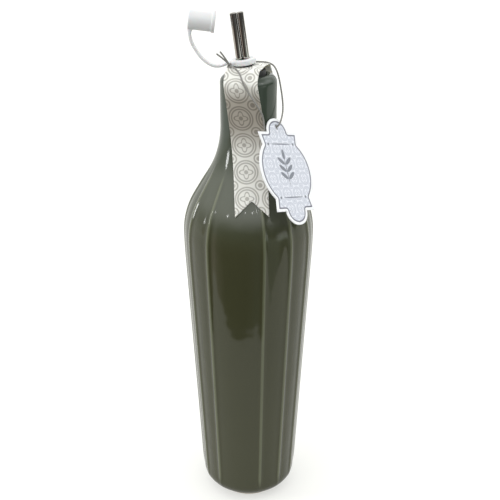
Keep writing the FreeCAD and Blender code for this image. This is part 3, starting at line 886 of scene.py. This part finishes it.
def make_tag():
    """Die-cut card: rows across its outline, a punched hole in the upper tab, both skins and the cut edge."""
    crowded = 1 - np.linspace(1, 0.02, 16)[1:] ** 1.7
    half = np.concatenate([np.linspace(0, TAG_WAIST_Y, 26), np.linspace(TAG_WAIST_Y, TAG_HALF, 9)[1:],
                           [TAG_HALF + 1e-6], TAG_HALF + TAG_RISE * crowded])
    y = np.concatenate([-half[:0:-1], half])
    across = np.linspace(-1, 1, 52)
    x = across[None, :] * tag_width(y)[:, None]
    grid = np.stack([x, np.broadcast_to(y[:, None], x.shape)], -1)
    hole = np.array([0.0, TAG_HALF + TAG_RISE - TAG_DROP])
    flat = pushed(grid, hole, TAG_HOLE, TAG_HOLE * TAG_HOLE_REACH).reshape(-1, 2)
    rim = resample(np.vstack([grid[:, 0], grid[::-1, -1]]), 0.4)
    edge = np.linalg.norm(rim[None] - flat[:, None], axis=2).min(1)
    count = len(flat)
    top, bottom = (tag_point(flat[:, 0], flat[:, 1] - hole[1], np.full(count, z)) for z in (TAG_T, 0.0))
    points, faces = slab(top, bottom, without_hole(grid, hole))
    where = np.column_stack([flat, np.zeros(count)])
    obj = piece("tag_card", points, faces, CARD, "card", place=np.vstack([where, where]),
                edge=np.concatenate([edge, np.zeros(count)]), print=np.repeat([1.0, 0.0], count))
    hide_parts("hang_tag")
    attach(obj, "tag")


make_tag()


# String

def route(points):
    """Points of the smooth NURBS line of order 3 that has the given points as its control points."""
    data = bpy.data.curves.new("route", "CURVE")
    data.dimensions = "3D"
    data.resolution_u = 48
    line = data.splines.new("NURBS")
    line.points.add(len(points) - 1)
    line.points.foreach_set("co", np.column_stack([points, np.ones(len(points))]).ravel())
    line.order_u = 3
    line.use_endpoint_u = True
    holder = bpy.data.objects.new("route", data)
    mesh = bpy.data.meshes.new_from_object(holder)
    out = np.empty(len(mesh.vertices) * 3)
    mesh.vertices.foreach_get("co", out)
    bpy.data.objects.remove(holder)
    bpy.data.curves.remove(data)
    bpy.data.meshes.remove(mesh)
    return out.reshape(-1, 3)


def carried_normals(path):
    """Two unit normals at each point of a path, carried from point to point with the least turn."""
    way = tangents(path)
    normals = [unit(np.cross(way[0], (0.3, 0.5, 0.8)))]
    for direction in way[1:]:
        normals.append(unit(normals[-1] - np.dot(normals[-1], direction) * direction))
    normals = np.array(normals)
    return normals, np.cross(way, normals)


def twine(path):
    """Two-ply string: radius R (1 - p + p cos 2(phi - 2 pi s / lay)) round the path, with domed ends."""
    s = lengths(path)
    normal, across = carried_normals(path)
    phi = np.arange(CORD_COLUMNS) * 2 * math.pi / CORD_COLUMNS
    from_end = np.minimum(s, s[-1] - s) / (CORD / 2)
    dome = np.sqrt(np.clip(1 - np.clip(1 - from_end, 0, 1) ** 2, 0, 1))
    twist = phi[None, :] - 2 * math.pi * s[:, None] / CORD_LAY
    radius = CORD / 2 * (1 - CORD_PLY + CORD_PLY * np.cos(2 * twist)) * dome[:, None]
    ring = np.cos(phi)[None, :, None] * normal[:, None] + np.sin(phi)[None, :, None] * across[:, None]
    points = path[:, None] + radius[:, :, None] * ring
    return points.reshape(-1, 3), grid_faces(len(path), CORD_COLUMNS, ring=True)


def make_strand(name, over, edge, down, through_hole, nodes):
    """String from the knot over the mouth's edge to the tag's hole, as one smooth line."""
    normal = tag_point(0.0, 0.0, 1.0) - tag_point(0.0, 0.0, 0.0)
    middle = np.array(TAG_AT) + normal * TAG_T / 2
    path = route([KNOT, *over, edge, *down, middle + normal * through_hole, middle])
    obj = piece(name, *twine(path), STRING, "string")
    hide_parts(*nodes)
    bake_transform(obj)
    return obj, path


def make_knot():
    """Knot on the loop (a cos t, b sin 2t, c sin t), with two tails."""
    t = np.linspace(0, 2 * math.pi, 60)
    loop = np.stack([np.cos(t), np.sin(2 * t), np.sin(t)], 1) * KNOT_LOOP + np.array(KNOT)
    obj = piece("string_bow", *join([twine(loop)] + [twine(route([KNOT, *tail])) for tail in TAILS]),
                STRING, "string")
    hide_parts("string_knot")
    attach(obj, "pourer")
    return obj


def make_string():
    """Front strand, back strand and knot."""
    strands = [make_strand("string_front", OVER_FRONT, FRONT_EDGE, DOWN_FRONT, -CORD_THROUGH,
                           ("string_over_front", "string_down_front")),
               make_strand("string_back", OVER_BACK, BACK_EDGE, DOWN_BACK, CORD_THROUGH,
                           ("string_over_back", "string_down_back"))]
    knot = make_knot()


make_string()


# Floor, light and camera

def make_floor():
    """Pale floor that shines a little of its own, so that only a soft shade shows on it."""
    mat, net, shader = material("pale_floor")
    net.put(shader.inputs["Base Color"], (0.48, 0.475, 0.45))
    net.put(shader.inputs["Roughness"], 1.0)
    net.put(shader.inputs["Specular IOR Level"], 0.0)
    net.put(shader.inputs["Emission Color"], (1.0, 1.0, 1.0))
    shine = net.math("MULTIPLY_ADD", net.seen(FLOOR_MIRRORED), FLOOR_SEEN, FLOOR_SHINE)
    net.put(shader.inputs["Emission Strength"], shine)
    columns = [(-FLOOR_SIZE, FLOOR_FRONT_LEFT), (FLOOR_BEND, FLOOR_FRONT_LEFT), (0, FLOOR_FRONT),
               (FLOOR_SIZE, FLOOR_FRONT)]
    corners = columns + [(x, FLOOR_SIZE) for x, _ in columns[::-1]]
    mesh = bpy.data.meshes.new("floor")
    mesh.from_pydata([(x, y, 0) for x, y in corners], [], [(0, 1, 6, 7), (1, 2, 5, 6), (2, 3, 4, 5)])
    mesh.materials.append(mat)
    obj = bpy.data.objects.new("floor", mesh)
    bpy.context.scene.collection.objects.link(obj)


def make_world():
    """White to the camera, and to gloss where it mirrors the backdrop behind the object.

    Elsewhere it is a dim room below eye height, a bright band above it and a soft ceiling, with a
    pale wall on the left and two pale patches on the right. Azimuth is in radians from the front.
    """
    world = bpy.data.worlds.new("studio")
    bpy.context.scene.world = world
    world.use_nodes = True
    world.node_tree.nodes.clear()
    net = Nodes(world.node_tree)
    right, back, up = net.parts(net.add("ShaderNodeTexCoord").outputs["Generated"])
    azimuth = net.math("ARCTAN2", right, net.times(back, -1.0))
    below = net.ramp(up, 0.04, -0.08)
    band = net.ramp(up, 0.08, 0.56, ROOM_DIM, ROOM_BAND)
    ceiling = net.ramp(up, 0.62, 0.85, 0.0, ROOM_BAND - ROOM_CEILING)
    green = net.ramp(azimuth, -0.1, 0.3)
    sheen = net.times(net.ramp(net.away(azimuth, SHEEN_AT), 0.3, 0.14), below)
    low = net.math("MULTIPLY_ADD", net.times(green, below), ROOM_GREEN, net.times(sheen, ROOM_SHEEN))
    left = net.times(net.ramp(azimuth, -0.8, -1.3), net.ramp(azimuth, -2.6, -2.2))
    wall = net.times(left, net.ramp(up, 0.5, 0.2, 0.0, ROOM_WALL))
    beside = net.ramp(net.away(azimuth, STREAK_AT), 0.27, 0.08)
    level = net.ramp(net.away(up, STREAK_UP), 0.13, 0.03, 0.0, ROOM_STREAK)
    wall = net.math("MULTIPLY_ADD", beside, level, wall)
    low_tint = net.mix(green, (1.0, 0.88, 0.78), (0.9, 1.0, 0.92))
    room = net.add("ShaderNodeBackground")
    net.put(room.inputs["Color"], net.mix(below, (0.98, 1.0, 0.99), low_tint))
    strength = net.math("ADD", net.math("SUBTRACT", band, ceiling), net.math("ADD", low, wall))
    net.put(room.inputs["Strength"], strength)
    white = net.add("ShaderNodeBackground")
    net.put(white.inputs["Color"], (1.0, 1.0, 1.0))
    pick = net.add("ShaderNodeMixShader")
    net.put(pick.inputs[0], net.seen(net.ramp(back, 0.25, 0.6)))
    net.put(pick.inputs[1], room.outputs[0])
    net.put(pick.inputs[2], white.outputs[0])
    net.put(net.add("ShaderNodeOutputWorld").inputs[0], pick.outputs[0])


def lamp(name, azimuth, elevation, distance, size, power):
    """Rectangular light at an azimuth from the front and an elevation, aimed at a point over the shoulder."""
    light = bpy.data.lights.new(name, "AREA")
    light.shape = "RECTANGLE"
    light.size, light.size_y = size
    light.energy = power
    obj = bpy.data.objects.new(name, light)
    bpy.context.scene.collection.objects.link(obj)
    level = distance * cosd(elevation)
    height = SHOULDER_Z * MM + LAMP_AIM + distance * sind(elevation)
    obj.location = (level * sind(azimuth), -level * cosd(azimuth), height)
    obj.rotation_euler = (math.radians(90 - elevation), 0.0, math.radians(azimuth))


def make_camera():
    """Camera at the photograph's viewing angle."""
    data = bpy.data.cameras.new("camera")
    data.sensor_width = CAMERA_SENSOR
    data.lens = CAMERA_LENS
    camera = bpy.data.objects.new("camera", data)
    camera.location = CAMERA_AT
    camera.rotation_euler = (math.radians(90 - CAMERA_DOWN), 0, 0)
    bpy.context.scene.collection.objects.link(camera)
    bpy.context.scene.camera = camera


make_floor()
make_world()
# Name, azimuth, elevation, distance in metres, width and height in metres, and power in watts
lamp("window_left", -79.0, 11.0, 1.5, (0.24, 0.42), 4.8)
lamp("lamp_left", -45.0, 27.0, 1.4, (0.07, 0.03), 0.25)
lamp("lamp_middle", -6.0, 36.0, 1.4, (0.03, 0.02), 0.1)
lamp("lamp_right", 12.0, 36.0, 1.4, (0.05, 0.025), 0.18)
lamp("lamp_far_right", 60.0, 30.0, 1.4, (0.06, 0.05), 0.4)
make_camera()
bpy.context.scene.view_settings.view_transform = "Standard"
